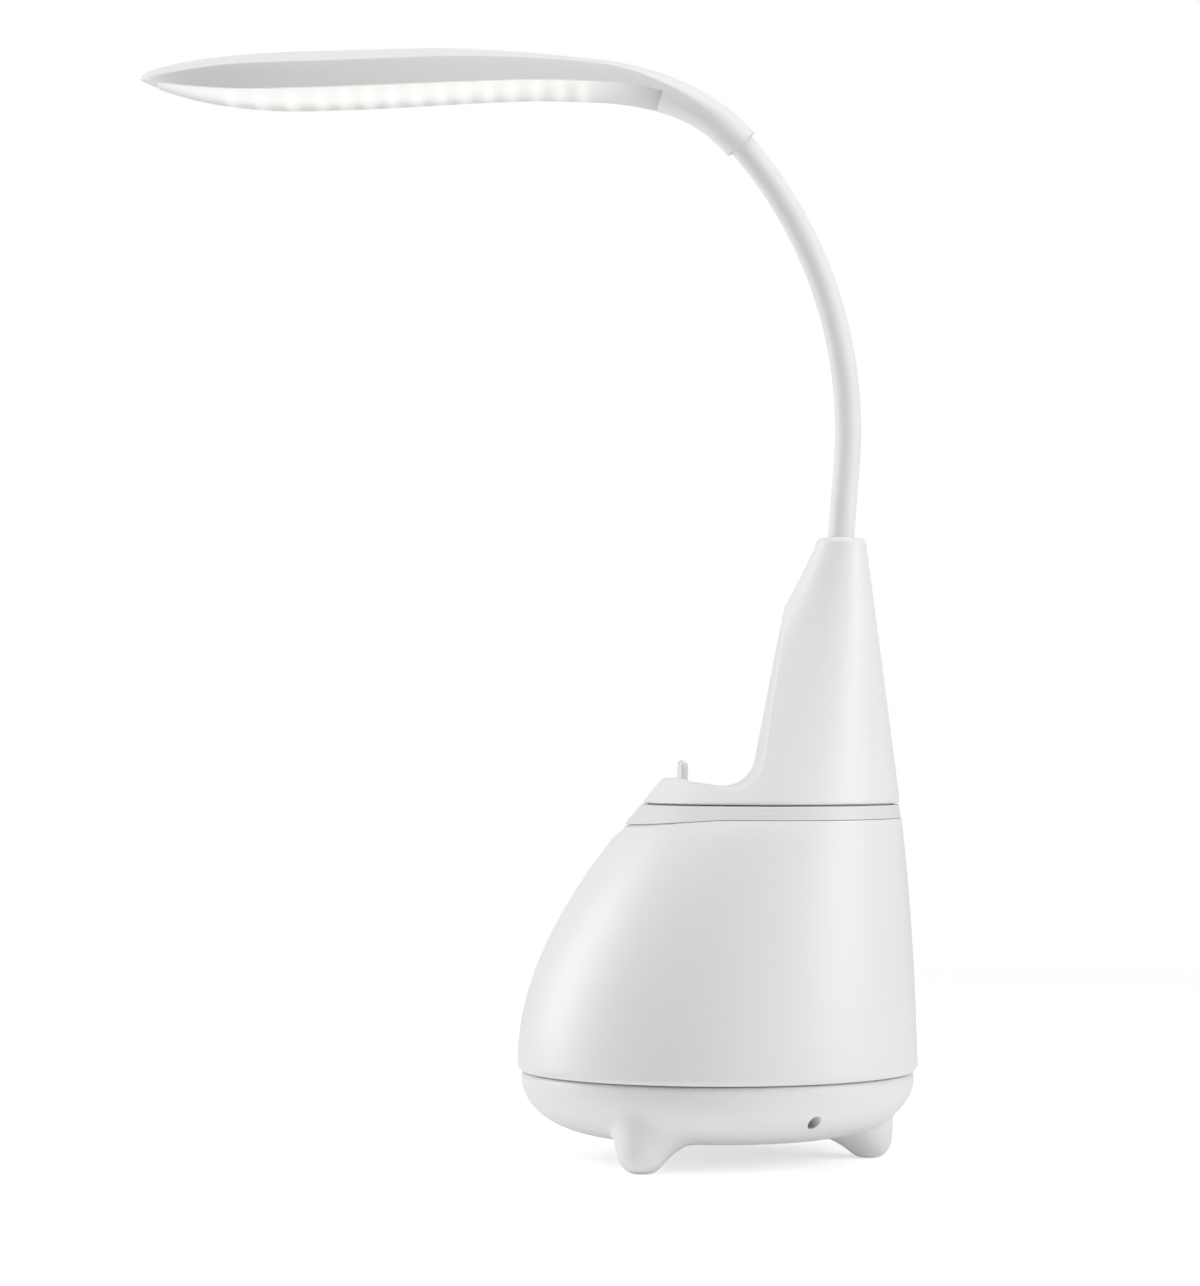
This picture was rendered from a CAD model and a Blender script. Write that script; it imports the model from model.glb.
# %% [markdown]
# # A desk lamp with a leaf-shaped LED head and a phone rest
# This notebook dresses a finished CAD model of a small white desk lamp. The CAD model gives every size and
# every joint. Here each shell that the eye sees is modelled again with smooth surfaces, rounded edges and
# real finishes, in metres, and each new piece lies exactly where its CAD solid lies.
#
# +Z is up, -X is the way the head reaches, and the origin is on the table under the middle of the base.

# %% Load the CAD model
import math

import bpy
import bmesh
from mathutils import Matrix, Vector


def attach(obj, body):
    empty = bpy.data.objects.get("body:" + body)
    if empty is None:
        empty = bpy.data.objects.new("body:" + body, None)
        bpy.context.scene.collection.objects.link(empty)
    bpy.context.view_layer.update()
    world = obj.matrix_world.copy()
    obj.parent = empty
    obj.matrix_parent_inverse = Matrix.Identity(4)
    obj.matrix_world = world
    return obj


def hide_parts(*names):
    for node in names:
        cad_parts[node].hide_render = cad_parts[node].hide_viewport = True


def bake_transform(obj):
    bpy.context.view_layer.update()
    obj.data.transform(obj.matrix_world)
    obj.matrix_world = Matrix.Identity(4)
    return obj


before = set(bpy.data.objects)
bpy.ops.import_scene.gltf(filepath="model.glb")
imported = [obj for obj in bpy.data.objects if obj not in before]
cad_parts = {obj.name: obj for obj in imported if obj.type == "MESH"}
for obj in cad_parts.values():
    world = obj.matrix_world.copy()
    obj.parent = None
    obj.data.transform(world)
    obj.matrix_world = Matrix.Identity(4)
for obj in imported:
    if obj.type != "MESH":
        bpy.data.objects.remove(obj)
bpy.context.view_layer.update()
scene = bpy.context.scene
scene.view_settings.view_transform = "Standard"

MM = 0.001


# %% [markdown]
# ## Camera
# The photograph was taken from the side, a little above the middle of the base, with a long lens: upright
# lines stay upright, and near and far feet are almost the same size. A long lens far away gives the same
# calm perspective, so the camera stands 1.2 m away and looks up by about one degree.

# %% Place the camera
camera_data = bpy.data.cameras.new("camera")
camera = bpy.data.objects.new("camera", camera_data)
scene.collection.objects.link(camera)
camera.location = (-0.036, -1.215, 0.1325)
camera.rotation_euler = (math.radians(90 + 1.19), 0, 0)
camera_data.sensor_width = 36
camera_data.lens = 110.57
scene.camera = camera
print("camera at", tuple(camera.location))


# %% [markdown]
# ## Light and floor
# A white product on a white ground only shows its form where the light falls off. In the photograph the
# outline of every round form is bright and a soft grey core runs down it, left of the middle. That is the
# look of a white room: an even light from all sides, with large soft lamps to the left and right of the
# object and one above it. The camera sees pure white behind it, because the world has one strength for
# what the camera sees and a weaker one for what lights the object.

# %% Add nodes in one line
def add_node(tree, kind, inputs=(), **settings):
    """A node with its settings. Each input has a socket and a value, or the (node, output) that feeds it."""
    made = tree.nodes.new(kind)
    for key, value in settings.items():
        setattr(made, key, value)
    for socket, value in inputs:
        if isinstance(value, tuple) and isinstance(value[0], bpy.types.Node):
            tree.links.new(value[0].outputs[value[1]], made.inputs[socket])
        else:
            made.inputs[socket].default_value = value
    return made


def add_math(tree, operation, *values, clamp=False):
    """The result of a Math node, ready to feed another node."""
    return (add_node(tree, "ShaderNodeMath", enumerate(values), operation=operation, use_clamp=clamp), 0)


def blank_tree(owner):
    owner.use_nodes = True
    owner.node_tree.nodes.clear()
    return owner.node_tree


# %% Light the scene
white = (1, 1, 1, 1)
room_strength, reflected_share = 0.205, 0.6
scene.world = bpy.data.worlds.new("white_room")
tree = blank_tree(scene.world)
seen = add_node(tree, "ShaderNodeBackground", [("Strength", 1.0), ("Color", white)])
lighting = add_node(tree, "ShaderNodeBackground", [("Strength", room_strength), ("Color", white)])
path = add_node(tree, "ShaderNodeLightPath")
straight = add_math(tree, "MAXIMUM", (path, "Is Camera Ray"), (path, "Is Transmission Ray"))
reflected = add_math(tree, "MULTIPLY", (path, "Is Glossy Ray"), reflected_share)
white_share = add_math(tree, "MAXIMUM", straight, reflected)
mix = add_node(tree, "ShaderNodeMixShader", [("Fac", white_share), (1, (lighting, 0)), (2, (seen, 0))])
add_node(tree, "ShaderNodeOutputWorld", [("Surface", (mix, 0))])


def soft_lamp(name, place, target, width, height, watts):
    """A large rectangular lamp that faces a point."""
    data = bpy.data.lights.new(name, "AREA")
    data.shape = "RECTANGLE"
    data.size = width
    data.size_y = height
    data.energy = watts
    lamp = bpy.data.objects.new(name, data)
    scene.collection.objects.link(lamp)
    lamp.location = place
    aim = Vector(target) - Vector(place)
    lamp.rotation_euler = aim.to_track_quat("-Z", "Y").to_euler()


soft_lamp("lamp_left", (-1.2, 0.32, 0.35), (0, 0, 0.12), 0.7, 1.2, 9.4)
soft_lamp("lamp_right", (1.15, -0.42, 0.35), (0, 0, 0.12), 0.7, 1.2, 8.2)
soft_lamp("lamp_above", (-0.05, -0.3, 1.3), (-0.03, 0, 0.15), 1.2, 0.7, 8.4)

# %% Lay the floor
def new_piece(name, add, **settings):
    """A new piece: everything is deselected, and one primitive is added and named."""
    bpy.ops.object.select_all(action="DESELECT")
    add(**settings)
    piece = bpy.context.active_object
    piece.name = name
    return piece


floor = new_piece("floor", bpy.ops.mesh.primitive_plane_add, size=80, location=(0, 0, 0))
floor_finish = bpy.data.materials.new("floor_white")
floor_tone, glow_for_all, glow_for_camera, fade_start, fade_end = 0.93, 0.1, 0.4, 0.35, 1.1
tree = blank_tree(floor_finish)
path = add_node(tree, "ShaderNodeLightPath")
matt = add_node(tree, "ShaderNodeBsdfDiffuse", [("Color", (floor_tone, floor_tone, floor_tone, 1))])
# A little glow of its own for every ray, and more of it for the camera.
glow = add_math(tree, "MULTIPLY_ADD", (path, "Is Camera Ray"), glow_for_camera, glow_for_all)
lift = add_node(tree, "ShaderNodeEmission", [("Color", white), ("Strength", glow)])
both = add_node(tree, "ShaderNodeAddShader", [(0, (matt, 0)), (1, (lift, 0))])
# Further out the floor fades into the white behind it, so that no horizon shows.
place = add_node(tree, "ShaderNodeTexCoord")
away = add_node(tree, "ShaderNodeVectorMath", [(0, (place, "Object"))], operation="LENGTH")
fade = add_node(tree, "ShaderNodeMapRange", [("Value", (away, "Value")), ("From Min", fade_start),
                                             ("From Max", fade_end)], interpolation_type="SMOOTHSTEP")
fade_seen = add_math(tree, "MULTIPLY", (fade, 0), (path, "Is Camera Ray"))
far_white = add_node(tree, "ShaderNodeEmission")
far_mix = add_node(tree, "ShaderNodeMixShader", [("Fac", fade_seen), (1, (both, 0)), (2, (far_white, 0))])
add_node(tree, "ShaderNodeOutputMaterial", [("Surface", (far_mix, 0))])
floor.data.materials.append(floor_finish)


# %% [markdown]
# ## Helpers for finishes
# Each finish is a material with a Principled shader. Colour, roughness and height that vary over the
# surface come from node groups, so that the same effect can be used with other values on other pieces.
# What is the same all over a piece is written on the shader's own sockets.

# %% Start a finish
def start_finish(name, colour, roughness, **sockets):
    """A material with one Principled shader, whose plain values are on its own sockets."""
    made = bpy.data.materials.new(name)
    made.use_nodes = True
    shader = made.node_tree.nodes["Principled BSDF"]
    shader.inputs["Base Color"].default_value = (*colour, 1)
    shader.inputs["Roughness"].default_value = roughness
    for socket, value in sockets.items():
        shader.inputs[socket.replace("_", " ")].default_value = value
    return made, shader


def place_group(made, group, **values):
    """Puts a shared effect into a finish, on Object coordinates, with its own values."""
    where = add_node(made.node_tree, "ShaderNodeTexCoord")
    placed = made.node_tree.nodes.new("ShaderNodeGroup")
    placed.node_tree = group
    link(made, where, "Object", placed, "Place")
    for socket, value in values.items():
        placed.inputs[socket.replace("_", " ")].default_value = value
    return placed


def link(made, source, output, target, entry):
    made.node_tree.links.new(source.outputs[output], target.inputs[entry])


def dress(made, shader, group, bump, distance, outputs=("Color", "Roughness"), **values):
    """Lets a shared effect drive a finish, with its height as a bump on the shader's normal."""
    texture = place_group(made, group, **values)
    for output in outputs:
        link(made, texture, output, shader, "Base Color" if output == "Color" else output)
    relief = add_node(made.node_tree, "ShaderNodeBump",
                      [("Strength", bump), ("Distance", distance), ("Height", (texture, "Height"))])
    link(made, relief, "Normal", shader, "Normal")


# %% Draw a node group
class GroupDraft:
    """A node group while it is drawn. Its first input is the place on the piece."""

    def __init__(self, name, entries, exits):
        self.tree = bpy.data.node_groups.new(name, "ShaderNodeTree")
        sockets = self.tree.interface
        sockets.new_socket("Place", in_out="INPUT", socket_type="NodeSocketVector")
        for socket, kind, value in entries:
            made = sockets.new_socket(socket, in_out="INPUT", socket_type="NodeSocket" + kind)
            made.default_value = value
        for socket, kind in exits:
            sockets.new_socket(socket, in_out="OUTPUT", socket_type="NodeSocket" + kind)
        self.entry = self.tree.nodes.new("NodeGroupInput")
        self.exit = self.tree.nodes.new("NodeGroupOutput")

    def source(self, value):
        """A name stands for the group's own input; anything else is taken as it is."""
        return (self.entry, value) if isinstance(value, str) else value

    def node(self, kind, inputs=(), **settings):
        fed = [(socket, self.source(value)) for socket, value in inputs]
        return add_node(self.tree, kind, fed, **settings)

    def math(self, operation, *values, clamp=False):
        return add_math(self.tree, operation, *[self.source(value) for value in values], clamp=clamp)

    def fade(self, value, start, end, before, after):
        """A smooth change from one level to another while a value goes from start to end."""
        return (self.node("ShaderNodeMapRange", [("Value", value), ("From Min", start), ("From Max", end),
                                                 ("To Min", before), ("To Max", after)],
                          interpolation_type="SMOOTHSTEP"), 0)

    def give(self, value, exit_name):
        self.tree.links.new(value[0].outputs[value[1]], self.exit.inputs[exit_name])


# %% [markdown]
# ## Moulded plastic
# The lamp's shells are injection moulded in white ABS with a fine satin texture from the mould. Seen close,
# such a surface has grains of about 0.2 mm that scatter the highlight, and a very slight change of gloss
# from place to place. Two layers of noise give both. The strength stays low, so that the long soft
# reflections of the photograph are kept.

# %% Effect: satin mould texture
draft = GroupDraft(
    "satin_mould_texture",
    [("Tone", "Color", (0.8, 0.8, 0.8, 1)), ("Tone Change", "Float", 0.02), ("Roughness", "Float", 0.4),
     ("Roughness Change", "Float", 0.05), ("Grain Scale", "Float", 4500.0)],
    [("Color", "Color"), ("Roughness", "Float"), ("Height", "Float")])
grain = draft.node("ShaderNodeTexNoise", [("Vector", "Place"), ("Scale", "Grain Scale"), ("Detail", 2)])
cloud = draft.node("ShaderNodeTexNoise", [("Vector", "Place"), ("Scale", 38), ("Detail", 3)])
centred = draft.math("SUBTRACT", (cloud, "Fac"), 0.5)
tone_gain = draft.math("ADD", draft.math("MULTIPLY", centred, "Tone Change"), 1.0)
tinted = draft.node("ShaderNodeVectorMath", [(0, "Tone"), ("Scale", tone_gain)], operation="SCALE")
draft.give((tinted, 0), "Color")
rough_shift = draft.math("MULTIPLY", centred, "Roughness Change")
grain_shift = draft.math("MULTIPLY", draft.math("SUBTRACT", (grain, "Fac"), 0.5), "Roughness Change")
rough = draft.math("ADD", draft.math("ADD", rough_shift, grain_shift), "Roughness", clamp=True)
draft.give(rough, "Roughness")
draft.give((grain, "Fac"), "Height")
satin = draft.tree


def plastic(name, colour, roughness, tone_change=0.02, grain=4500.0, bump=0.06, **sockets):
    """A moulded or cast finish with the satin texture on it."""
    made, shader = start_finish(name, colour, roughness, **sockets)
    dress(made, shader, satin, bump, 0.0004, Tone=(*colour, 1), Tone_Change=tone_change, Roughness=roughness,
          Grain_Scale=grain)
    return made


white_plastic = plastic("white_plastic", (0.86, 0.862, 0.868), 0.38)
trim_plastic = plastic("trim_plastic", (0.79, 0.792, 0.8), 0.42)
white_silicone = plastic("white_silicone", (0.85, 0.852, 0.856), 0.5, grain=2600.0, bump=0.05,
                         Sheen_Weight=0.12, Sheen_Roughness=0.4)
dark_plastic = plastic("dark_plastic", (0.022, 0.022, 0.024), 0.46, tone_change=0.15, bump=0.15)
lead_cover = plastic("lead", (0.8, 0.8, 0.79), 0.45, grain=3000.0)
print("plastics", [m.name for m in (white_plastic, trim_plastic, white_silicone, dark_plastic, lead_cover)])


# %% [markdown]
# ## Metals
# Screws, nut and ferrule are turned steel with a bright zinc coat, and the ballast is a plate of rolled
# steel. Both show fine lines from the tool or the roll and slightly uneven gloss. Noise that is stretched
# along one direction gives the lines.

# %% Effect: worked metal
draft = GroupDraft(
    "worked_metal",
    [("Tone", "Color", (0.6, 0.6, 0.6, 1)), ("Dull Tone", "Color", (0.4, 0.4, 0.4, 1)),
     ("Roughness", "Float", 0.3), ("Stretch", "Vector", (1.0, 1.0, 12.0)), ("Line Scale", "Float", 900.0)],
    [("Color", "Color"), ("Roughness", "Float"), ("Height", "Float")])
stretched = draft.node("ShaderNodeVectorMath", [(0, "Place"), (1, "Stretch")], operation="MULTIPLY")
lines = draft.node("ShaderNodeTexNoise", [("Vector", (stretched, 0)), ("Scale", "Line Scale"), ("Detail", 4)])
stains = draft.node("ShaderNodeTexNoise", [("Vector", "Place"), ("Scale", 160), ("Detail", 5)])
share = draft.math("MULTIPLY", (stains, "Fac"), 0.55)
blend_tone = draft.node("ShaderNodeMix", [(0, share), (6, "Tone"), (7, "Dull Tone")], data_type="RGBA")
draft.give((blend_tone, 2), "Color")
rough = draft.math("ADD", draft.math("MULTIPLY", (stains, "Fac"), 0.12), "Roughness")
draft.give(draft.math("SUBTRACT", rough, 0.06, clamp=True), "Roughness")
draft.give((lines, "Fac"), "Height")
metal_group = draft.tree


def metal(name, colour, dull, roughness, stretch=(1, 1, 12), bump=0.15):
    """A worked steel with a bright tone and a dull one."""
    made, shader = start_finish(name, colour, roughness, Metallic=1.0)
    dress(made, shader, metal_group, bump, 0.0002, Tone=(*colour, 1), Dull_Tone=(*dull, 1),
          Roughness=roughness, Stretch=stretch)
    return made


steel = metal("steel", (0.66, 0.66, 0.67), (0.5, 0.5, 0.52), 0.28)
steel_hose = metal("steel_hose", (0.58, 0.58, 0.6), (0.42, 0.42, 0.44), 0.34, stretch=(1, 1, 3))
ballast_steel = metal("ballast", (0.42, 0.42, 0.43), (0.3, 0.29, 0.28), 0.5, stretch=(1, 14, 1), bump=0.3)
print("metals", [m.name for m in (steel, steel_hose, ballast_steel)])


# %% [markdown]
# ## Circuit boards and cell
# A board is glass fibre under a coloured solder mask, and copper tracks show through the mask as slightly
# lighter bands with small round pads. A brick pattern gives the tracks and a cell pattern the pads. The
# same effect serves the green main board and the white LED board.

# %% Effect: tracks under solder mask
draft = GroupDraft(
    "tracks_under_mask",
    [("Mask Tone", "Color", (0.02, 0.2, 0.08, 1)), ("Track Tone", "Color", (0.04, 0.3, 0.12, 1)),
     ("Pad Tone", "Color", (0.7, 0.68, 0.6, 1)), ("Track Scale", "Float", 260.0)],
    [("Color", "Color"), ("Height", "Float")])
black = (0, 0, 0, 1)
bricks = draft.node("ShaderNodeTexBrick", [("Vector", "Place"), ("Scale", "Track Scale"), ("Color1", white),
                                           ("Color2", white), ("Mortar", black), ("Mortar Size", 0.09)])
dots = draft.node("ShaderNodeTexVoronoi", [("Vector", "Place"), ("Scale", "Track Scale")])
pads = draft.math("LESS_THAN", (dots, "Distance"), 0.16)
tracks = draft.node("ShaderNodeMix", [(0, (bricks, "Color")), (6, "Track Tone"), (7, "Mask Tone")],
                    data_type="RGBA")
padded = draft.node("ShaderNodeMix", [(0, pads), (6, (tracks, 2)), (7, "Pad Tone")], data_type="RGBA")
draft.give((padded, 2), "Color")
draft.give(draft.math("SUBTRACT", 1.0, (bricks, "Fac")), "Height")
tracks_group = draft.tree


def board_finish(name, mask, track, pad, roughness):
    """A board with tracks and pads that show through its mask."""
    made, shader = start_finish(name, mask, roughness, Coat_Weight=0.3)
    dress(made, shader, tracks_group, 0.2, 0.0001, ("Color",), Mask_Tone=(*mask, 1), Track_Tone=(*track, 1),
          Pad_Tone=(*pad, 1))
    return made


circuit_board = board_finish("circuit_board", (0.015, 0.14, 0.06), (0.03, 0.22, 0.1), (0.75, 0.72, 0.62),
                             0.35)
led_board = board_finish("led_board", (0.8, 0.8, 0.79), (0.86, 0.86, 0.85), (0.8, 0.78, 0.7), 0.4)
cell_wrap = plastic("cell_wrap", (0.05, 0.16, 0.36), 0.3, tone_change=0.12, grain=1200.0, bump=0.08)
print("boards", circuit_board.name, led_board.name, cell_wrap.name)


# %% [markdown]
# ## The line of the neck and the head
# Neck and head follow one line in the lamp's middle plane: a short straight foot that leans back, a long
# forward curve, a tight bend where the head starts, a slight bow, and a straight run to the tip. The CAD
# model uses the same line, so its numbers are repeated here, and every section stands square to it.

# %% Walk along the line
neck_straight, neck_curve_r = 23 * MM, 134 * MM
bend_r, bow_r = 59.5 * MM, 450 * MM
neck_lean, neck_end_lean = math.radians(4.5), math.radians(41)
bend_turn, bow_turn = math.radians(47), math.radians(3.5)
neck_curve = neck_curve_r * (neck_end_lean + neck_lean)
neck_len = neck_straight + neck_curve
head_reach = 191.4
head_len = head_reach * MM
tower_x, tower_z = 38.2 * MM, 190.2 * MM
turns = [(neck_straight, None), (neck_curve, neck_curve_r), (bend_r * bend_turn, bend_r),
         (bow_r * bow_turn, bow_r), (1, None)]


def line_at(s):
    """x, z and lean of the line at a length from the top of the tower."""
    x, z, lean = tower_x, tower_z, -neck_lean
    for length, radius in turns:
        step = min(s, length)
        if radius is None:
            x, z = x - step * math.sin(lean), z + step * math.cos(lean)
        else:
            after = lean + step / radius
            x -= radius * (math.cos(lean) - math.cos(after))
            z += radius * (math.sin(after) - math.sin(lean))
            lean = after
        s -= length
        if s <= 0:
            break
    return x, z, lean


def square_to_line(s, y, n):
    """A point beside the line: y to the side and n above it."""
    x, z, lean = line_at(s)
    return Vector((x + n * math.cos(lean), y, z + n * math.sin(lean)))


tip = line_at(neck_len + head_len)
print("neck length", round(neck_len, 4), "head tip at", [round(v, 4) for v in tip[:2]])


# %% [markdown]
# ## The lit diffuser
# The diffuser is a milky polycarbonate trough over a row of fifteen LEDs. It glows all over, and above
# each LED the light is a little stronger. A Mapping node turns the surface into the head's own direction.
# A bump of light is added for each LED by a loop, which fades towards the diffuser's sides.

# %% Effect: glow above the LEDs
led_places = [28.4 + 9.3 * i for i in range(4)] + [28.4 + 9.3 * 3 + 7.3 * i for i in range(1, 12)]
draft = GroupDraft(
    "glow_above_leds",
    [("Even Glow", "Float", 0.3), ("Spot Glow", "Float", 0.3), ("Spot Reach", "Float", 0.0034)],
    [("Glow", "Float")])
tip_place, tip_turn = (tip[0], 0, tip[1]), (0, math.pi / 2 - tip[2], 0)
along_head = draft.node("ShaderNodeMapping", [("Vector", "Place"), ("Location", tip_place),
                                              ("Rotation", tip_turn)], vector_type="TEXTURE")
parts = draft.node("ShaderNodeSeparateXYZ", [(0, (along_head, 0))])
total = None
for place in led_places:
    away = draft.math("ABSOLUTE", draft.math("SUBTRACT", (parts, "X"), place * MM))
    bump = draft.fade(away, 0, "Spot Reach", 1, 0)
    total = draft.math("ADD", total, bump) if total else bump
sideways = draft.math("ABSOLUTE", (parts, "Y"))
spots = draft.math("MULTIPLY", total, draft.fade(sideways, 3 * MM, 17 * MM, 1, 0.25))
strong = draft.math("MULTIPLY", spots, "Spot Glow")
even = draft.math("MULTIPLY", draft.fade((parts, "X"), 138 * MM, 160 * MM, 1, 0.45), "Even Glow")
even = draft.math("MULTIPLY", even, draft.fade(sideways, 0, 12 * MM, 0.3, 1))
draft.give(draft.math("ADD", strong, even), "Glow")
glow_group = draft.tree

milk, led_yellow = (0.64, 0.64, 0.635), (0.9, 0.78, 0.3)
milky_diffuser, shader = start_finish("milky_diffuser", milk, 0.36, IOR=1.58, Emission_Strength=1.0)
glow = place_group(milky_diffuser, glow_group, Even_Glow=0.4, Spot_Glow=0.14)
warm = add_node(milky_diffuser.node_tree, "ShaderNodeMix",
                [(0, (glow, "Glow")), (6, black), (7, (1.0, 0.985, 0.94, 1))], data_type="RGBA")
link(milky_diffuser, warm, 2, shader, "Emission Color")
dress(milky_diffuser, shader, satin, 0.05, 0.0004, Tone=(*milk, 1), Roughness=0.36, Grain_Scale=3200.0)

led_finish, shader = start_finish("led", led_yellow, 0.3, Coat_Weight=0.5, Emission_Strength=2.0,
                                  Emission_Color=(1.0, 0.95, 0.82, 1))
dress(led_finish, shader, satin, 0.1, 0.0002, ("Color",), Tone=(*led_yellow, 1), Tone_Change=0.1,
      Roughness=0.3, Grain_Scale=6000.0)
print("led row from", led_places[0], "to", round(led_places[-1], 1), "mm")


# %% [markdown]
# ## Helpers for modelling
# Edit mode acts on what is selected, and loading the model leaves its pieces selected. So each new piece
# starts with everything deselected, and is made alone. These helpers select, apply and finish a piece.

# %% Select and edit
def only(piece):
    bpy.ops.object.select_all(action="DESELECT")
    piece.select_set(True)
    bpy.context.view_layer.objects.active = piece


def settle(piece):
    """Puts the piece's place, turn and scale into its mesh."""
    only(piece)
    bpy.ops.object.transform_apply(location=True, rotation=True, scale=True)


def edit_all(piece):
    """Into edit mode with the whole mesh selected."""
    only(piece)
    bpy.ops.object.mode_set(mode="EDIT")
    bpy.ops.mesh.select_all(action="SELECT")


def outward(piece):
    """Merges doubles and turns every face outwards."""
    edit_all(piece)
    bpy.ops.mesh.remove_doubles(threshold=0.000002)
    bpy.ops.mesh.normals_make_consistent(inside=False)
    bpy.ops.object.mode_set(mode="OBJECT")


# %% Apply, cut and finish
def apply_modifier(piece, kind, **settings):
    only(piece)
    modifier = piece.modifiers.new(kind.lower(), kind)
    for key, value in settings.items():
        setattr(modifier, key, value)
    bpy.ops.object.modifier_apply(modifier=modifier.name)


def cut(piece, tool, operation="DIFFERENCE"):
    """A Boolean with a tool, which is used up."""
    apply_modifier(piece, "BOOLEAN", operation=operation, object=tool, solver="EXACT")
    bpy.data.objects.remove(tool, do_unlink=True)


def break_edges(piece, width, segments=2):
    """A fine bevel on every edge that is sharper than 50 degrees."""
    apply_modifier(piece, "BEVEL", width=width, segments=segments, limit_method="ANGLE",
                   angle_limit=math.radians(50))


def finish_piece(piece, finish, angle=30):
    """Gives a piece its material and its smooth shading."""
    piece.data.materials.clear()
    piece.data.materials.append(finish)
    only(piece)
    bpy.ops.object.shade_smooth_by_angle(angle=math.radians(angle))
    low = [round(min(v.co[i] for v in piece.data.vertices), 4) for i in range(3)]
    high = [round(max(v.co[i] for v in piece.data.vertices), 4) for i in range(3)]
    print(piece.name, len(piece.data.polygons), "faces from", low, "to", high)


# %% Make lofts, outlines and rods
def steps(start, end, count):
    """Evenly spaced values from start to end, both included."""
    return [start + (end - start) * i / count for i in range(count + 1)]


def loft_rings(name, levels, sides=128):
    """A solid through round levels (x of the middle, z, radius): one disc, extruded level by level."""
    x, z, r = levels[0]
    piece = new_piece(name, bpy.ops.mesh.primitive_circle_add, vertices=sides, radius=r, fill_type="NGON",
                      location=(x, 0, z))
    settle(piece)
    edit_all(piece)
    for to_x, to_z, to_r in levels[1:]:
        bpy.ops.mesh.extrude_region_move(TRANSFORM_OT_translate={"value": (to_x - x, 0, to_z - z)})
        bpy.ops.transform.resize(value=(to_r / r, to_r / r, 1), center_override=(to_x, 0, to_z))
        x, z, r = to_x, to_z, to_r
    bpy.ops.object.mode_set(mode="OBJECT")
    outward(piece)
    return piece


def outline_solid(name, points, width):
    """A flat outline in x and z, made solid across y: a polygon disc whose corners are moved, extruded."""
    piece = new_piece(name, bpy.ops.mesh.primitive_circle_add, vertices=len(points), radius=0.01,
                      fill_type="NGON")
    for corner, (x, z) in zip(piece.data.vertices, points):
        corner.co = (x, -width / 2, z)
    edit_all(piece)
    bpy.ops.mesh.extrude_region_move(TRANSFORM_OT_translate={"value": (0, width, 0)})
    bpy.ops.object.mode_set(mode="OBJECT")
    outward(piece)
    return piece


def rod(name, radius, low, high, sides=48):
    """A plain round rod between two points, used as a cutter or as the start of a boss."""
    low, way = Vector(low), Vector(high) - Vector(low)
    piece = new_piece(name, bpy.ops.mesh.primitive_cylinder_add, vertices=sides, radius=radius,
                      depth=way.length, location=(low + Vector(high)) / 2,
                      rotation=way.to_track_quat("Z", "Y").to_euler())
    settle(piece)
    return piece


# %% Place bosses and join pieces
def on_circle(radius, degrees, middle_x=0.0):
    """x and y of a point on a circle round an upright axis."""
    a = math.radians(degrees)
    return middle_x + radius * math.cos(a), radius * math.sin(a)


def bored_boss(name, place, radius, low, high, bore, bore_low, bore_high):
    """An upright round boss with a hole for a screw."""
    boss = rod(name, radius, (*place, low), (*place, high))
    cut(boss, rod("pilot", bore, (*place, bore_low), (*place, bore_high)))
    return boss


def join_pieces(name, pieces):
    bpy.ops.object.select_all(action="DESELECT")
    for piece in pieces:
        piece.select_set(True)
    bpy.context.view_layer.objects.active = pieces[0]
    bpy.ops.object.join()
    pieces[0].name = name
    return pieces[0]


# %% [markdown]
# ## The form of the housing
# Every level of the housing is a circle. Its front point and its back point follow two cubic curves, one
# pair for the bell-shaped body under the waist and one for the cone-shaped tower above it. The two join at
# the waist with the same slope, so the outline runs through the trim ring without a kink.

# %% Level of the housing at a height
def cubic(u, length, p0, m0, p1, m1):
    return (p0 * (1 - 3 * u * u + 2 * u ** 3) + p1 * (3 * u * u - 2 * u ** 3)
            + length * (m0 * u * (1 - u) ** 2 - m1 * u * u * (1 - u)))


base_r, shoulder_z, waist_z = 61.4 * MM, 29 * MM, 108.2 * MM
tower_r, tower_edge = 7.8 * MM, 2.4 * MM
waist_front, waist_back = -23.6 * MM, 56.1 * MM
bottom_inset = 1.1 * MM
body_bottom_z, pan_top_z = 27.0 * MM, 26.6 * MM
tower_round_z = tower_z - tower_edge


def level(z, inset=0.0):
    """(x of the middle, z, radius) of the housing at a height, drawn in by an inset."""
    if z < shoulder_z:
        x, r = 0.0, base_r - bottom_inset * ((shoulder_z - z) / (shoulder_z - body_bottom_z)) ** 2
    elif z > tower_round_z:
        over = max(0.0, tower_edge ** 2 - (z - tower_round_z) ** 2)
        x, r = tower_x, tower_r - tower_edge + math.sqrt(over)
    elif z < waist_z:
        span = waist_z - shoulder_z
        front = cubic((z - shoulder_z) / span, span, -base_r, 0, waist_front, 0.86)
        back = cubic((z - shoulder_z) / span, span, base_r, -0.03, waist_back, -0.12)
        x, r = (front + back) / 2, (back - front) / 2
    else:
        span = tower_round_z - waist_z
        front = cubic((z - waist_z) / span, span, waist_front, 0.86, tower_x - tower_r, 0.45)
        back = cubic((z - waist_z) / span, span, waist_back, -0.12, tower_x + tower_r, -0.13)
        x, r = (front + back) / 2, (back - front) / 2
    return x, z, r - inset


for z in (30, 60, 90, 108, 140, 180):
    x, _, r = level(z * MM)
    print("level", z, "mm: front", round((x - r) * 1000, 1), "back", round((x + r) * 1000, 1))


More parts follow.
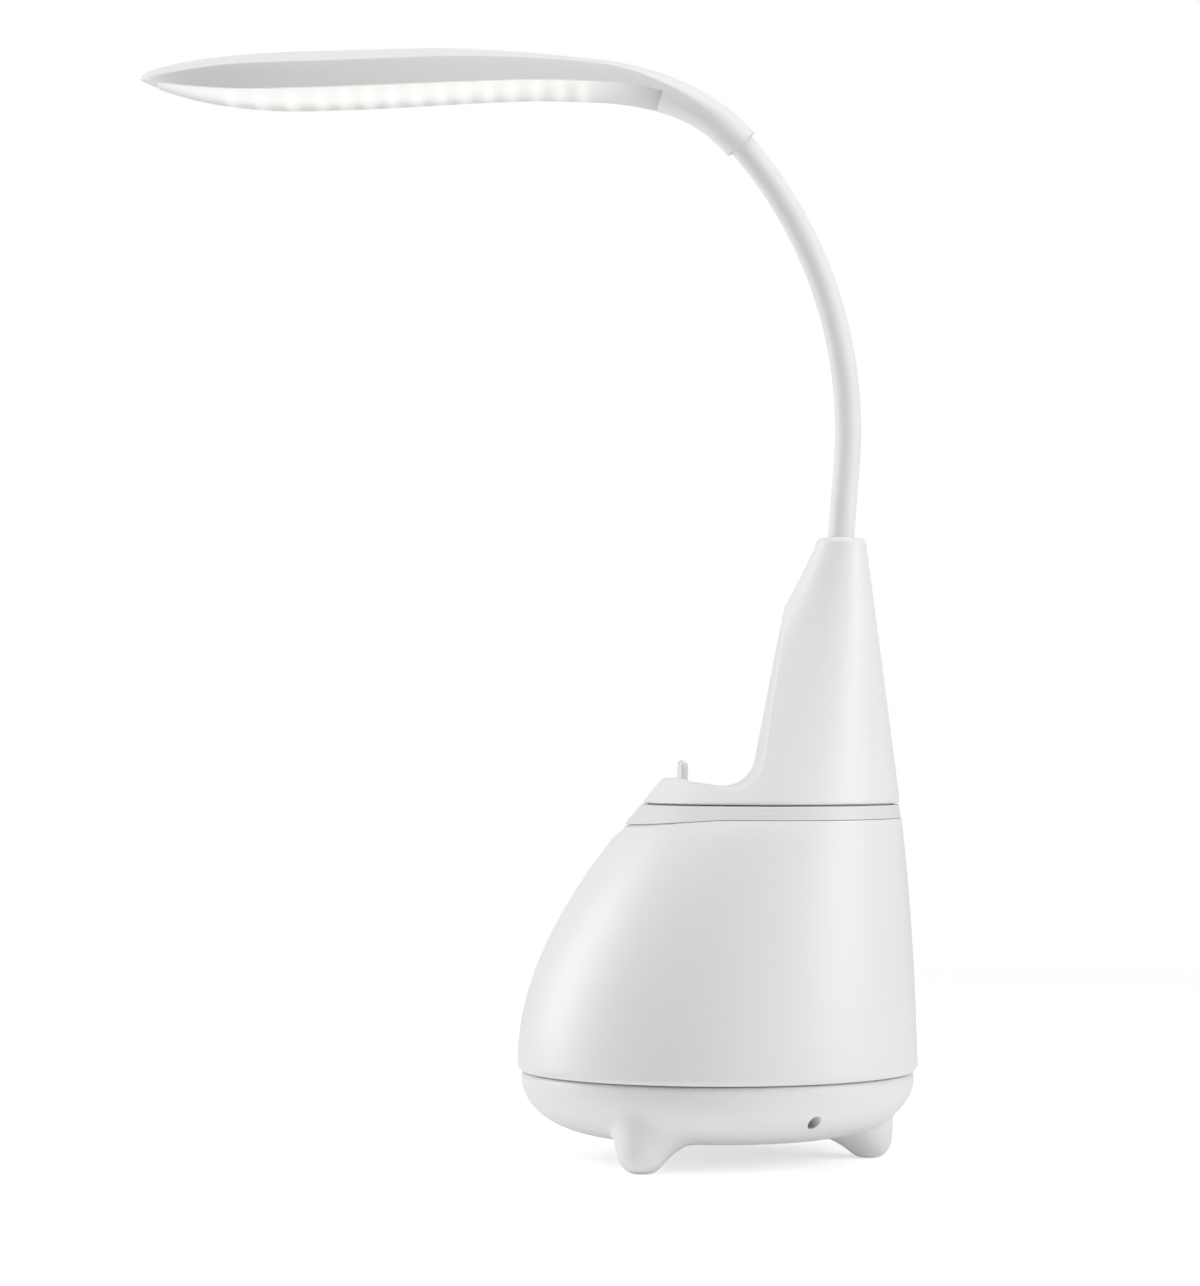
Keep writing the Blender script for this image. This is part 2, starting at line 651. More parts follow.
# %% [markdown]
# ## Pan and feet
# The underside of the base is a shallow bowl with three feet. On the real pan the feet grow out of the bowl
# in one soft curve, because they are moulded with it. The bowl is a profile that is spun round, and each
# foot is a disc that is extruded level by level, wide above and narrow where it stands. A voxel remesh
# fuses them, and smoothing turns the sharp meeting line into a fillet. The room inside is cut afterwards.

# %% Spin the bowl
pan_r, pan_flat_r, pan_floor_z = 60.2 * MM, 34 * MM, 7.4 * MM
pan_bend_z = pan_top_z - 2 * MM


def spin_profile(name, points, turns=128):
    """Spins an outline in x and z, which starts and ends on the axis, round the axis."""
    piece = new_piece(name, bpy.ops.mesh.primitive_plane_add, size=0.01)
    draft_mesh = bmesh.new()
    corners = [draft_mesh.verts.new((x, 0, z)) for x, z in points]
    for a, b in zip(corners, corners[1:]):
        draft_mesh.edges.new((a, b))
    draft_mesh.to_mesh(piece.data)
    draft_mesh.free()
    edit_all(piece)
    bpy.ops.mesh.spin(steps=turns, angle=2 * math.pi, center=(0, 0, 0), axis=(0, 0, 1))
    bpy.ops.object.mode_set(mode="OBJECT")
    outward(piece)
    return piece


def bowl_points(inset, count=24):
    """The bowl's round side, from its flat floor up to where it stands upright."""
    wide, deep = pan_r - inset - pan_flat_r, pan_bend_z - pan_floor_z - inset
    return [(pan_flat_r + wide * math.sin(a), pan_bend_z - deep * math.cos(a))
            for a in steps(0, math.pi / 2, count)]


lip = 0.7 * MM
bowl = spin_profile("base_pan_skin", [(0, pan_floor_z)] + bowl_points(0)
                    + [(pan_r, pan_top_z - lip), (pan_r - 0.3 * lip, pan_top_z - 0.3 * lip),
                       (pan_r - lip, pan_top_z), (0, pan_top_z)])

# %% Extrude the feet
foot_pad_r, foot_r, foot_flank_z, foot_flare = 2.2 * MM, 7.6 * MM, 8 * MM, 17 * MM


def bowl_z(r):
    if r < pan_flat_r:
        return pan_floor_z
    drop = math.sqrt(max(0, 1 - ((r - pan_flat_r) / (pan_r - pan_flat_r)) ** 2))
    return pan_bend_z - (pan_bend_z - pan_floor_z) * drop


def foot_reach(place_r, z, a):
    """Reach of a foot from its own middle: a steep flank outwards, a growing flare towards the inside."""
    flank = foot_pad_r + (foot_r - foot_pad_r) * math.sqrt(1 - (1 - min(1, z / foot_flank_z)) ** 2)
    flare = (foot_flare - foot_r) * abs(math.sin(a / 2)) ** 3
    far = foot_r + flare
    meets = bowl_z(math.hypot(place_r + far * math.cos(a), far * math.sin(a)))
    return flank + flare * min(1, z / meets) ** 2.4


feet = [(46.4 * MM, 0), (50.5 * MM, 118), (50.5 * MM, -118)]
foot_heights = [0, 0.15, 0.45, 1, 1.8, 2.8, 3.9, 5, 6.1, 7.1, 8.1, 9.2, 10.5, 12, 14, 18]
solids = [bowl]
for place_r, angle in feet:
    foot = loft_rings("foot", [(0, z * MM, foot_r) for z in foot_heights], sides=64)
    for point in foot.data.vertices:
        a = math.atan2(point.co.y, point.co.x)
        reach = foot_reach(place_r, point.co.z, a)
        point.co.x, point.co.y = reach * math.cos(a), reach * math.sin(a)
    foot.rotation_euler = (0, 0, math.radians(angle))
    foot.location = (*on_circle(place_r, angle), 0)
    settle(foot)
    solids.append(foot)
base_pan = join_pieces("base_pan_skin", solids)
apply_modifier(base_pan, "REMESH", mode="VOXEL", voxel_size=0.62 * MM)
apply_modifier(base_pan, "SMOOTH", iterations=5, factor=0.5)
blend_zone = base_pan.vertex_groups.new(name="where_feet_join")


def ramp(value, start, end):
    """0 at start and before it, 1 at end and beyond it, and evenly between."""
    return min(1, max(0, (value - start) / (end - start)))


for point in base_pan.data.vertices:
    near = min(math.dist(point.co.xy, on_circle(*foot_place)) for foot_place in feet)
    share = ramp(point.co.z, 4.5 * MM, 7.5 * MM) * ramp(point.co.z, 21.5 * MM, 19 * MM)
    share *= ramp(near, 25 * MM, 19 * MM)
    if share > 0:
        blend_zone.add([point.index], share, "REPLACE")
apply_modifier(base_pan, "SMOOTH", iterations=60, factor=0.5, vertex_group="where_feet_join")
print("pan fused with", len(base_pan.data.vertices), "points")

# %% Cut the pan's room and its inlet
wall = 2.2 * MM
room = spin_profile("room", [(0, pan_floor_z + wall)] + bowl_points(wall)
                    + [(pan_r - wall, pan_top_z + 1 * MM), (0, pan_top_z + 1 * MM)], turns=96)
cut(base_pan, room)
inlet_turn, inlet_z, inlet_r, inlet_wall = -61, 15.4 * MM, 2.0 * MM, 2.2 * MM
skin = 0.3 * MM


def beside_inlet(r):
    return (*on_circle(r, inlet_turn), inlet_z)


boss = rod("inlet_boss", inlet_r + inlet_wall, beside_inlet(48.64 * MM), beside_inlet(54.6 * MM))
bowl_core = spin_profile("bowl_core", [(0, pan_floor_z + skin)] + bowl_points(skin)
                         + [(pan_r - skin, pan_top_z), (0, pan_top_z)], turns=96)
cut(boss, bowl_core, operation="INTERSECT")
cut(base_pan, boss, operation="UNION")
cut(base_pan, rod("inlet_hole", inlet_r, beside_inlet(44 * MM), beside_inlet(62 * MM)))

# %% Add what stands inside the pan
post_r, post_top, post_chamfer, well_r, screw_way_r = 4.6 * MM, 30.6 * MM, 0.4 * MM, 3.1 * MM, 1.6 * MM
pan_screws = [on_circle(41 * MM, angle) for angle in (40, 180, 320)]
inner_parts = []
for place in pan_screws:
    post = loft_rings("pan_post", [(0, 10.6 * MM, post_r), (0, post_top - post_chamfer, post_r),
                                   (0, post_top, post_r - post_chamfer)], sides=40)
    for point in post.data.vertices:
        point.co += Vector((*place, 0))
    cut(post, rod("well", well_r, (*place, 5 * MM), (*place, 20 * MM)))
    cut(post, rod("way", screw_way_r, (*place, 19 * MM), (*place, 32 * MM)))
    cut(base_pan, rod("well_mouth", well_r, (*place, 3 * MM), (*place, 11.5 * MM)))
    inner_parts.append(post)
lip_r, lip_t, lip_chamfer = base_r - wall - bottom_inset - 0.2 * MM, 1.8 * MM, 0.4 * MM
lip_top = pan_top_z + 3.4 * MM
lip_ring = loft_rings("pan_lip", [(0, 22.6 * MM, lip_r), (0, lip_top - lip_chamfer, lip_r),
                                  (0, lip_top, lip_r - lip_chamfer)])
cut(lip_ring, rod("lip_room", lip_r - lip_t, (0, 0, 20 * MM), (0, 0, 34 * MM), sides=128))
inner_parts.append(lip_ring)
for angle in (90, 210, 330):
    place = on_circle(23 * MM, angle)
    inner_parts.append(rod("ballast_boss", 3.4 * MM, (*place, 9 * MM), (*place, 12 * MM)))
for side in (-1, 1):
    place = (43 * MM, side * 11.5 * MM)
    inner_parts.append(rod("board_post", 2.6 * MM, (*place, 9.4 * MM), (*place, 18 * MM)))
base_pan = join_pieces("base_pan_skin", [base_pan] + inner_parts)
finish_piece(base_pan, white_plastic, 35)
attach(base_pan, "root")
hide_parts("base_pan")


# %% [markdown]
# ## The bell-shaped body
# The body is a thin shell between the pan and the trim ring. Its lower edge is drawn in by a millimetre,
# so that it turns under softly. Its upper edge falls a little towards the front, where the ring is deeper.
# One loft gives the outside. A second loft, drawn in by the wall, is cut from it, and a fine bevel breaks
# the edges, because a moulded edge always has a small radius that catches the light.

# %% Loft the body
ring_low_z, ring_drop, ring_front = 104.0 * MM, 2 * MM, -28.6 * MM


def ring_edge(x):
    """Height of the ring's lower edge: level at the back, lower at the front."""
    return ring_low_z - ring_drop * ramp(x, 0, ring_front)


body_heights = steps(body_bottom_z, shoulder_z, 6)[:-1] + steps(shoulder_z, 98 * MM, 40) + [ring_low_z]
body = loft_rings("body_shell_skin", [level(z) for z in body_heights])
for point in body.data.vertices:
    if point.co.z > ring_low_z - 0.01 * MM:
        point.co.z = ring_edge(point.co.x)
inside = [level(z, wall) for z in [body_bottom_z - 1 * MM] + steps(body_bottom_z, 108 * MM, 30)]
cut(body, loft_rings("body_room", inside, sides=96))
break_edges(body, 0.35 * MM, 3)

# %% Add the collar that carries the ring, and the screw bosses
recess, ring_t, ring_room = 0.3 * MM, 2.3 * MM, 0.1 * MM
collar_inset = recess + ring_t + ring_room
collar_room_inset = collar_inset + 1.8 * MM


def hoop(name, heights, inset, room_heights, room_inset):
    """A hoop between two lofts of the housing, each drawn in by its own inset."""
    made = loft_rings(name, [level(z, inset) for z in heights])
    cut(made, loft_rings("room", [level(z, room_inset) for z in room_heights], sides=96))
    return made


extras = [hoop("collar", steps(98 * MM, 111.2 * MM, 8), collar_inset, steps(97 * MM, 112 * MM, 8),
               collar_room_inset),
          hoop("shelf", steps(98 * MM, 101.4 * MM, 3), 1 * MM, steps(97 * MM, 103 * MM, 4),
               collar_room_inset)]
pilot_r = 1.45 * MM
for place in pan_screws:
    extras.append(bored_boss("body_boss", place, 4.2 * MM, 30.7 * MM, 42.7 * MM,
                             pilot_r, 30 * MM, 41 * MM))
upper_screws = [on_circle(27.5 * MM, angle, 16.5 * MM) for angle in (0, 104, 256)]
for place in upper_screws:
    extras.append(bored_boss("upper_lug", place, 4.4 * MM, 96.9 * MM, 100.9 * MM,
                             screw_way_r, 96 * MM, 102 * MM))
body = join_pieces("body_shell_skin", [body] + extras)
finish_piece(body, white_plastic)
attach(body, "root")
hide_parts("body_shell")


# %% [markdown]
# ## Trim ring
# A separate ring, a shade darker, fills the waist. It lies 0.3 mm behind the housing on both sides, which
# gives the fine dark line above it and the light line under it in the photograph.

# %% Loft the trim ring
trim = hoop("trim_ring_skin", steps(99 * MM, waist_z, 12), recess, steps(98 * MM, 109.4 * MM, 12),
            recess + ring_t)
under_back, far = ring_low_z + 0.15 * MM, 0.09
under_front = under_back - ring_drop
under = outline_solid("under_ring", [(-far, far), (far, far), (far, under_back), (0, under_back),
                                     (ring_front, under_front), (-far, under_front)], 0.2)
cut(trim, under)
break_edges(trim, 0.25 * MM)
finish_piece(trim, trim_plastic)
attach(trim, "root")
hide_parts("trim_ring")


# %% [markdown]
# ## Tower with the phone rest
# The upper housing starts as the same kind of loft, up to a tower with a rounded top. The phone rest is
# then cut out of it: a floor that falls gently to the back, a face that leans back, and a curve between
# them. On the real part the rim of that cut is rounded by more than a millimetre, which shows as a bright
# line. A bevel fails on such a curved cut, so the cut solid gets a voxel remesh and smoothing instead,
# which rounds every edge evenly. After that the room inside is cut.

# %% Draw the outline of the rest
rest_lip_z, rest_step, peg_x = 116.2 * MM, 1.3 * MM, -10.6 * MM
rest_fall, rest_lean, rest_fillet = math.radians(8), math.radians(9.8), 10 * MM


def rest_outline(grow, count=28):
    """The side view of what the rest takes away, grown by a thickness."""
    floor_x, floor_z = peg_x + 1.8 * MM, rest_lip_z - rest_step
    up = Vector((math.sin(rest_fall), math.cos(rest_fall)))
    fall = Vector((math.cos(rest_fall), -math.sin(rest_fall)))
    rise = Vector((math.sin(rest_lean), math.cos(rest_lean)))
    out = Vector((-math.cos(rest_lean), math.sin(rest_lean)))
    start = Vector((floor_x, floor_z))
    gap = Vector((11.8 * MM, rest_lip_z)) + rest_fillet * out - start - rest_fillet * up
    along = (gap.x * rise.y - gap.y * rise.x) / math.cos(rest_fall - rest_lean)
    middle = start + rest_fillet * up + along * fall
    r = rest_fillet + grow
    points = [(-0.08, rest_lip_z - grow), (floor_x - 1.2 * MM, rest_lip_z - grow), tuple(start - grow * up)]
    for i in range(count + 1):
        a = -math.pi / 2 - rest_fall + (math.pi / 2 + rest_fall - rest_lean) * i / count
        points.append((middle.x + r * math.cos(a), middle.y + r * math.sin(a)))
    top = middle - r * out + (0.2 - middle.y) * rise
    return points + [tuple(top), (-0.08, top.y)]


# %% Loft the tower and cut the rest
upper_bottom_z = waist_z + 0.4 * MM
tower_heights = steps(upper_bottom_z, tower_round_z, 48)
tower_heights += [tower_round_z + tower_edge * math.sin(math.pi / 2 * i / 8) for i in range(1, 9)]
upper = loft_rings("upper_shell_skin", [level(z) for z in tower_heights])
cut(upper, outline_solid("rest", rest_outline(0), 0.16))
apply_modifier(upper, "REMESH", mode="VOXEL", voxel_size=0.5 * MM)
apply_modifier(upper, "SMOOTH", iterations=9, factor=0.5)
print("tower fused with", len(upper.data.vertices), "points")

# %% Cut the room inside and the neck's seat
hollow = loft_rings("upper_room", [level(z, wall) for z in [upper_bottom_z - 1 * MM]
                                   + steps(upper_bottom_z + 1 * MM, 177.2 * MM, 24)], sides=96)
cut(hollow, outline_solid("rest_wall", rest_outline(wall), 0.16))
cut(upper, hollow)


def along_neck(n):
    """A point on the neck's axis at a height above the top of the tower."""
    return (tower_x + n * math.sin(neck_lean), 0, tower_z + n * math.cos(neck_lean))


cut(upper, rod("sleeve_seat", 4.1 * MM, along_neck(-2 * MM), along_neck(4 * MM)))
cut(upper, rod("ferrule_way", 3.75 * MM, along_neck(-22 * MM), along_neck(1 * MM)))
cut(upper, rod("nut_room", 6.6 * MM, along_neck(-25 * MM), along_neck(-13 * MM)))
peg_r, peg_fit = 1.3 * MM, 0.05 * MM
peg_places = [(peg_x, -16 * MM), (peg_x, 16 * MM)]
peg_hole_z = rest_lip_z - 1.6 * MM
for place in peg_places:
    cut(upper, rod("peg_hole", peg_r + peg_fit, (*place, peg_hole_z), (*place, rest_lip_z + 1 * MM)))
bosses = [bored_boss("upper_boss", place, 3.4 * MM, 101.1 * MM, 111 * MM, pilot_r, 100 * MM, 110 * MM)
          for place in upper_screws]
upper = join_pieces("upper_shell_skin", [upper] + bosses)
finish_piece(upper, white_plastic, 35)
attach(upper, "root")
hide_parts("upper_shell")

# %% [markdown]
# ## Stop pegs
# Two small pegs with round tops stand on the front crest of the rest and keep the phone from sliding off.
# Each is a disc that is extruded level by level along a quarter circle.

# %% Extrude the stop pegs
peg_foot, peg_top = peg_hole_z + peg_fit, rest_lip_z + 5.2 * MM + peg_fit
rounds = [(0, peg_top - peg_r * (1 - math.sin(a)), peg_r * math.cos(a))
          for a in steps(0, math.pi / 2, 9)[:-1]]
rounds.append((0, peg_top - 0.004 * MM, 0.08 * peg_r))
pegs = []
for place in peg_places:
    peg = loft_rings("stop_peg", [(0, peg_foot, peg_r)] + rounds, sides=32)
    for point in peg.data.vertices:
        point.co += Vector((*place, 0))
    pegs.append(peg)
pegs = join_pieces("stop_pegs_skin", pegs)
finish_piece(pegs, white_plastic, 40)
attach(pegs, "root")
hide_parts("stop_pegs")


# %% [markdown]
# ## Lofting from a grid
# Neck and head change their section all the way along a curved line. For such a form a grid is the best
# start: its rows become stations along the line, and its columns run round the section. Each point of the
# grid is moved to its place, the seam is merged, and the two ends are filled.

# %% Shape a grid into a skin
def grid_skin(name, stations, section, fill_ends=True):
    """Moves the points of a grid to closed sections, one for each station. Each section has equal points."""
    rings = [section(s) for s in stations]
    around = len(rings[0])
    piece = new_piece(name, bpy.ops.mesh.primitive_grid_add, x_subdivisions=around,
                      y_subdivisions=len(stations) - 1, size=1)
    for k, point in enumerate(piece.data.vertices):
        row, column = divmod(k, around + 1)
        point.co = rings[row][column % around]
    outward(piece)
    if fill_ends:
        edit_all(piece)
        bpy.ops.mesh.fill_holes(sides=0)
        bpy.ops.object.mode_set(mode="OBJECT")
        outward(piece)
    return piece


def round_section(radius, sides=36):
    """A round section of a tube along the line."""
    angles = [2 * math.pi * i / sides for i in range(sides)]
    return lambda s: [square_to_line(s, radius * math.cos(a), radius * math.sin(a)) for a in angles]


# %% [markdown]
# ## The neck's silicone sleeve
# The neck is a wound steel hose in a smooth silicone sleeve. It bends at eleven places, so the sleeve is
# made in eleven lengths, from the middle of one rigid length of hose to the middle of the next, and each
# bends smoothly over its own joint. The rings at which two lengths meet are the same at rest, and lie on a
# rigid length of hose, so they stay together when the neck bends, apart from a step of about a millimetre
# between two lengths at one extreme pose. The lead inside is made in the same way.

# %% Find the lead's way
hinge_first, hinge_pitch, hinge_count = 8.2 * MM, 11.8 * MM, 11
hinges = [hinge_first + hinge_pitch * k for k in range(hinge_count)]
socket_depth, lead_out, lead_rise, lead_r = 15 * MM, 31 * MM, 1.4 * MM, 1.0 * MM


def lead_point(s):
    """Middle of the lead: in the hose, straight through the socket, then rising to the LED board."""
    mouth, out = neck_len + socket_depth, neck_len + lead_out
    x, z, lean = line_at(neck_len)
    if s < neck_len:
        return square_to_line(s, 0, 0)
    if s < out:
        beyond = min(s - neck_len, socket_depth)
        straight = Vector((x - beyond * math.sin(lean), 0, z + beyond * math.cos(lean)))
        risen = max(0, s - mouth) / (out - mouth)
        return straight.lerp(square_to_line(out, 0, lead_rise), risen)
    return square_to_line(s, 0, lead_rise)


def lead_section(s, sides=16, reach=1.5 * MM):
    way = (lead_point(s + reach) - lead_point(s - reach)).normalized()
    up = Vector((way.z, 0, -way.x))
    return [lead_point(s) + Vector((0, lead_r * math.cos(a), 0)) + up * lead_r * math.sin(a)
            for a in [2 * math.pi * i / sides for i in range(sides)]]


# %% Make sleeve and lead length by length
widest_step, usual_step, ring_share, bending_share = 4 * MM, 3 * MM, 0.4, 0.42


def flexible(name, section, thickness, start, end, node, finish, rings):
    """A tube in eleven lengths along the neck, each blended over one joint."""
    borders = [start] + [(a + b) / 2 for a, b in zip(hinges, hinges[1:])] + [end]
    for k, hinge in enumerate(hinges):
        # Rings lie closer together over the joint, where the tube bends.
        a, b = borders[k], borders[k + 1]
        near = [hinge + hinge_pitch * ring_share * (i / rings - 1) for i in range(2 * rings + 1)]
        stations = sorted(set([a] + [s for s in near if a < s < b] + [b]))
        last, first = stations[-1] - stations[-2], stations[1] - stations[0]
        if last > widest_step:
            stations = stations[:-1] + steps(stations[-2], b, int(last / usual_step))[1:]
        if first > widest_step:
            stations = steps(a, stations[1], int(first / usual_step)) + stations[2:]
        length = grid_skin("%s_%02d" % (name, k + 1), stations, section, thickness is None)
        if thickness:
            apply_modifier(length, "SOLIDIFY", thickness=thickness, offset=-1)
        finish_piece(length, finish)
        before = square_to_line(hinge - hinge_pitch * bending_share, 0, 0)
        after = square_to_line(hinge + hinge_pitch * bending_share, 0, 0)
        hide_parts(node)
        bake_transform(length)


sleeve_r, sleeve_wall, sleeve_start, sleeve_end = 4 * MM, 0.75 * MM, -0.65 * MM, neck_len + 1.7 * MM
lead_start, lead_end = -24 * MM, neck_len + head_len - 148.5 * MM
flexible("neck_sleeve", round_section(sleeve_r), sleeve_wall, sleeve_start, sleeve_end, "neck_sleeve",
         white_silicone, 6)
flexible("led_lead", lead_section, None, lead_start, lead_end, "led_lead", lead_cover, 3)


# %% [markdown]
# ## The leaf-shaped head
# From the side, the head has three bands: a crowned top, an upright side wall under a crisp edge, and the
# convex diffuser below. Towards the neck all three turn into one round tube. Curves give the half-width,
# the crown, the edge, the wall's foot and the belly at each distance from the tip.

# %% Curves along the head
head_w, widest_at = 38.0, 52.0
crown_h, wall_h, rim_d, belly_d = 9.5, 7.8, 4.0, 8.2
neck_crown, neck_wall, neck_rim, neck_belly, socket_r = 4.7, 4.8, 2.4, 7.1, 5.4
diffuser_len, head_wall, tip_up, wall_lean, belly_swell = 162.0, 1.8, 2.6, 0.8, 0.4
slim_from, slim_to, tube_from, tube_to = 86, 160, 140, 182


def ease(u):
    u = min(1, max(0, u))
    return u * u * (3 - 2 * u)


def between(u, a, b):
    return ease((u - a) / (b - a))


def tip_rise(u, length, power):
    return 1 if u >= length else (1 - (1 - u / length) ** 2) ** power


def to_tube(u):
    return between(u, tube_from, tube_to)


def half_width(u):
    if u < widest_at:
        return head_w / 2 * tip_rise(u, widest_at, 0.55)
    along = (u - widest_at) / (head_reach - widest_at)
    return head_w / 2 - (head_w / 2 - socket_r) * ease(along ** 1.3)


def crown(u):
    return (tip_up + (crown_h - tip_up) * tip_rise(u, widest_at, 0.5)
            - (crown_h - neck_crown) * between(u, slim_from, slim_to)
            + (socket_r - neck_crown) * between(u, slim_to, head_reach))


def rim(u):
    return (-tip_up + (rim_d + tip_up) * tip_rise(u, widest_at - 8, 0.84)
            - (rim_d - neck_rim) * between(u, widest_at, tube_from)) * (1 - to_tube(u))


def edge(u):
    upright = wall_h * tip_rise(u, widest_at - 12, 1.1)
    upright -= (wall_h - neck_wall) * between(u, slim_from, slim_to)
    return upright * (1 - to_tube(u)) - rim(u)


def belly(u):
    return (-tip_up + (belly_d + tip_up) * tip_rise(u, widest_at, 0.8)
            - (belly_d - neck_belly) * between(u, widest_at + 8, 115) + belly_swell * between(u, 118, 146)
            - (neck_belly + belly_swell - socket_r) * between(u, 148, tube_to))


def foot_width(u):
    return half_width(u) - wall_lean * tip_rise(u, 30, 0.5) * (1 - to_tube(u))


# %% Points of a section
def head_point(u, y, n):
    """A point of the head: u from the tip, y to the side and n above the line, in millimetres."""
    return square_to_line(neck_len + head_len - u * MM, y * MM, n * MM)


def crown_points(u, count=44):
    rise, power = crown(u) - edge(u), 2 - to_tube(u)
    return [(half_width(u) * math.cos(a), edge(u) + rise * max(0, math.sin(a)) ** power)
            for a in steps(0, math.pi, count)]


def belly_points(u, inset, full, count=32):
    depth, power = full * (belly(u) - rim(u)), 1.5 - 0.5 * to_tube(u)
    return [(-(foot_width(u) - inset) * math.cos(a), -rim(u) - depth * max(0, math.sin(a)) ** power)
            for a in steps(0, math.pi, count)]


def between_points(start, end, count):
    return [(start[0] + (end[0] - start[0]) * i / count, start[1] + (end[1] - start[1]) * i / count)
            for i in range(1, count)]


def wall_points(high, low, count=8):
    """The side wall, which starts upright under the edge and curves in towards its foot."""
    return [(high[0] + (low[0] - high[0]) * t * t, high[1] + (low[1] - high[1]) * t)
            for t in [i / count for i in range(1, count)]]


def shell_section(u, full):
    top, low = crown_points(u), belly_points(u, 0, full)
    ring = top + wall_points(top[-1], low[0]) + low + wall_points(top[0], low[-1])[::-1]
    return [head_point(u, y, n) for y, n in ring]


shoulder, draw_in, least_room = 0.62, 0.97, 2.4


def hollow_section(u):
    w, low = foot_width(u) - head_wall, -rim(u)
    high = max(least_room, (crown(u) - head_wall - low) * ease((diffuser_len - u) / 6) + 0.2)
    ring = [(-w, low - 1), (w, low - 1)]
    ring += [(w * math.cos(a) * draw_in, low + high * (shoulder + (1 - shoulder) * math.sin(a)))
             for a in steps(0, math.pi, 16)]
    return [head_point(u, y, n) for y, n in ring]


# %% Shape the head's shell
def tip_stations(first, count, power, skip=0):
    """Stations from the tip to the widest place, which lie closer together near the tip."""
    return [first + (widest_at - first) * (i / count) ** power for i in range(skip, count + 1)]


leaf = [0.05] + tip_stations(0, 52, 1.9, 3) + steps(widest_at, diffuser_len, 54)[1:]
tube = steps(diffuser_len + 0.01, head_reach, 22)
fulls = {u: 0 for u in leaf}
fulls.update({u: 1 for u in tube})
head = grid_skin("head_shell_skin", leaf + tube, lambda u: shell_section(u, fulls[u]))
hollows = tip_stations(5.8, 20, 1.6) + steps(widest_at, diffuser_len - 6, 22)[1:] \
    + [diffuser_len - 3, diffuser_len - 0.05]
cut(head, grid_skin("head_hollow", hollows, hollow_section))
mouth = square_to_line(neck_len, 0, 0)
lean = line_at(neck_len)[2]
into = Vector((-math.sin(lean), 0, math.cos(lean)))
cut(head, rod("sleeve_seat", sleeve_r + 0.2 * MM, square_to_line(neck_len - 1 * MM, 0, 0),
              square_to_line(neck_len + 2 * MM, 0, 0)))
cut(head, rod("hose_way", 3.05 * MM, mouth, mouth + into * 15.6 * MM))
way_start, way_end = lead_point(neck_len + 14 * MM), lead_point(neck_len + lead_out)
cut(head, rod("lead_way", 1.9 * MM, way_start, way_end + (way_end - way_start).normalized() * 6 * MM))


def soften_sharp(piece, width, sharp, far_enough):
    """Bevels the sharp edges of a piece, except where there is no room for it."""
    only(piece)
    bpy.ops.object.mode_set(mode="EDIT")
    bpy.ops.mesh.select_mode(type="EDGE")
    bpy.ops.mesh.select_all(action="DESELECT")
    bpy.ops.mesh.edges_select_sharp(sharpness=math.radians(sharp))
    live = bmesh.from_edit_mesh(piece.data)
    for side in live.edges:
        if side.select and not all(far_enough(corner.co) for corner in side.verts):
            side.select = False
    bmesh.update_edit_mesh(piece.data)
    bpy.ops.mesh.bevel(offset=width, segments=2, affect="EDGES", clamp_overlap=True)
    bpy.ops.object.mode_set(mode="OBJECT")


soften_sharp(head, 0.25 * MM, 38, lambda p: p.x > tip[0] + 9 * MM)
bosses = [head]
for u, y in [(20, 0), (142, 0), (70, 8), (70, -8)]:
    board_top, under_crown = 2.05, crown(u) - 1.2 - abs(y) / 8
    bosses.append(rod("board_boss", 2.2 * MM, head_point(u, y, board_top), head_point(u, y, under_crown),
                      sides=32))
head = join_pieces("head_shell_skin", bosses)
finish_piece(head, white_plastic)
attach(head, "head")
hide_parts("head_shell")

# %% [markdown]
# ## Shape of the diffuser
# The diffuser is a shallow trough that sits inside the shell's lower edge. Its convex belly is what the eye
# sees. Its inside is another, smaller loft, which is cut out of it.

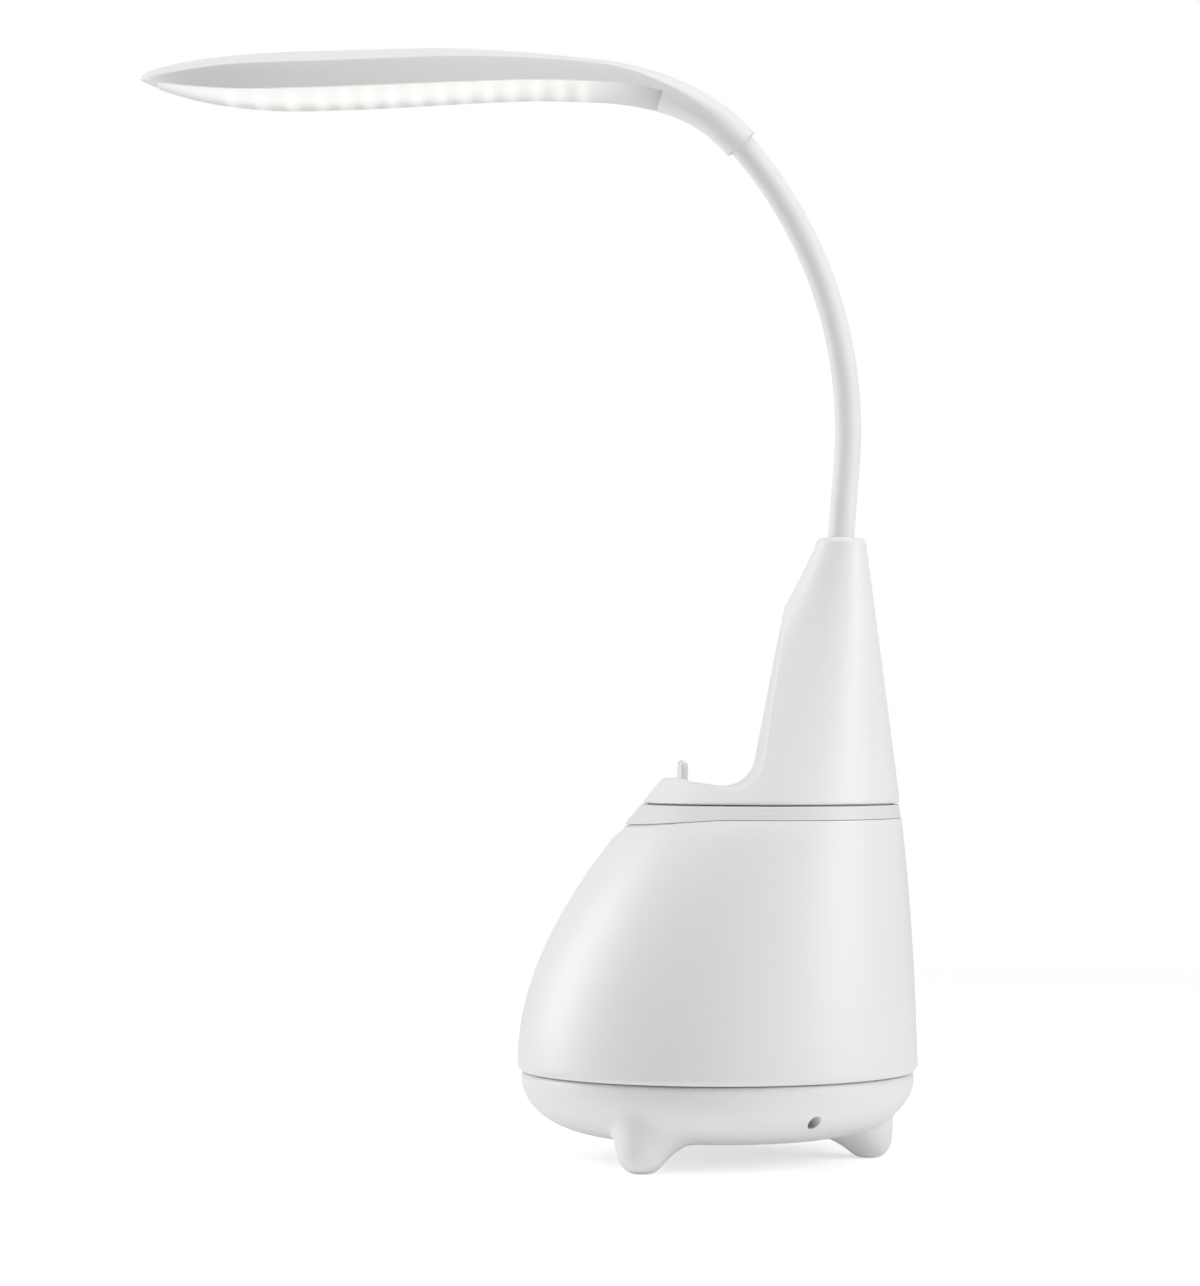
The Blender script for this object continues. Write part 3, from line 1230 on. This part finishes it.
# %% Shape the diffuser
trough_fit, trough_wall, flange, flange_room = 0.1, 1.6, 1.2, 0.35


def trough_outside(u):
    inset = head_wall + trough_fit
    low = belly_points(u, inset, 1, count=40)
    w = foot_width(u) - inset - flange_room
    far, near = (w, flange - rim(u)), (-w, flange - rim(u))
    ring = low + between_points(low[-1], far, 2) + [far] + between_points(far, near, 8) + [near] \
        + between_points(near, low[0], 2)
    return [head_point(u, y, n) for y, n in ring]


def trough_inside(u):
    w, top = foot_width(u) - head_wall - trough_fit - trough_wall, flange + 1 - rim(u)
    depth = max(0.1, belly(u) - rim(u) - trough_wall)
    ring = [(w, top), (-w, top)]
    ring += [(-w * math.cos(a) * draw_in, -rim(u) - depth * max(0, math.sin(a)) ** 1.5)
             for a in steps(0, math.pi, 20)]
    return [head_point(u, y, n) for y, n in ring]


outer_at = tip_stations(6.0, 36, 1.7) + steps(widest_at, diffuser_len - trough_fit, 54)[1:]
inner_at = tip_stations(6.0 + trough_wall, 18, 1.5) \
    + steps(widest_at, diffuser_len - trough_fit - trough_wall, 24)[1:]
diffuser = grid_skin("head_diffuser_skin", outer_at, trough_outside)
cut(diffuser, grid_skin("diffuser_room", inner_at, trough_inside))
break_edges(diffuser, 0.15 * MM)
finish_piece(diffuser, milky_diffuser)
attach(diffuser, "head")
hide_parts("head_diffuser")


# %% [markdown]
# ## Finishes for the inner pieces
# The screws, the ballast, the cell, the boards and the wound hose are right as the CAD model has them. They
# keep their solids and only get their finishes.

# %% Give the inner pieces their finishes
inner_finishes = {"ballast": ballast_steel, "battery_holder": dark_plastic, "battery_cell": cell_wrap,
                  "main_board": circuit_board, "touch_board": circuit_board, "board_chips": dark_plastic,
                  "dc_jack": dark_plastic, "led_board": led_board, "leds": led_finish}
for name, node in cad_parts.items():
    finish = inner_finishes.get(name)
    if finish is None:
        finish = steel_hose if name.startswith("neck_hose") else steel
    if not node.hide_render:
        for entry in node.material_slots:
            entry.material = finish
print("finished", sum(1 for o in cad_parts.values() if not o.hide_render), "inner pieces")
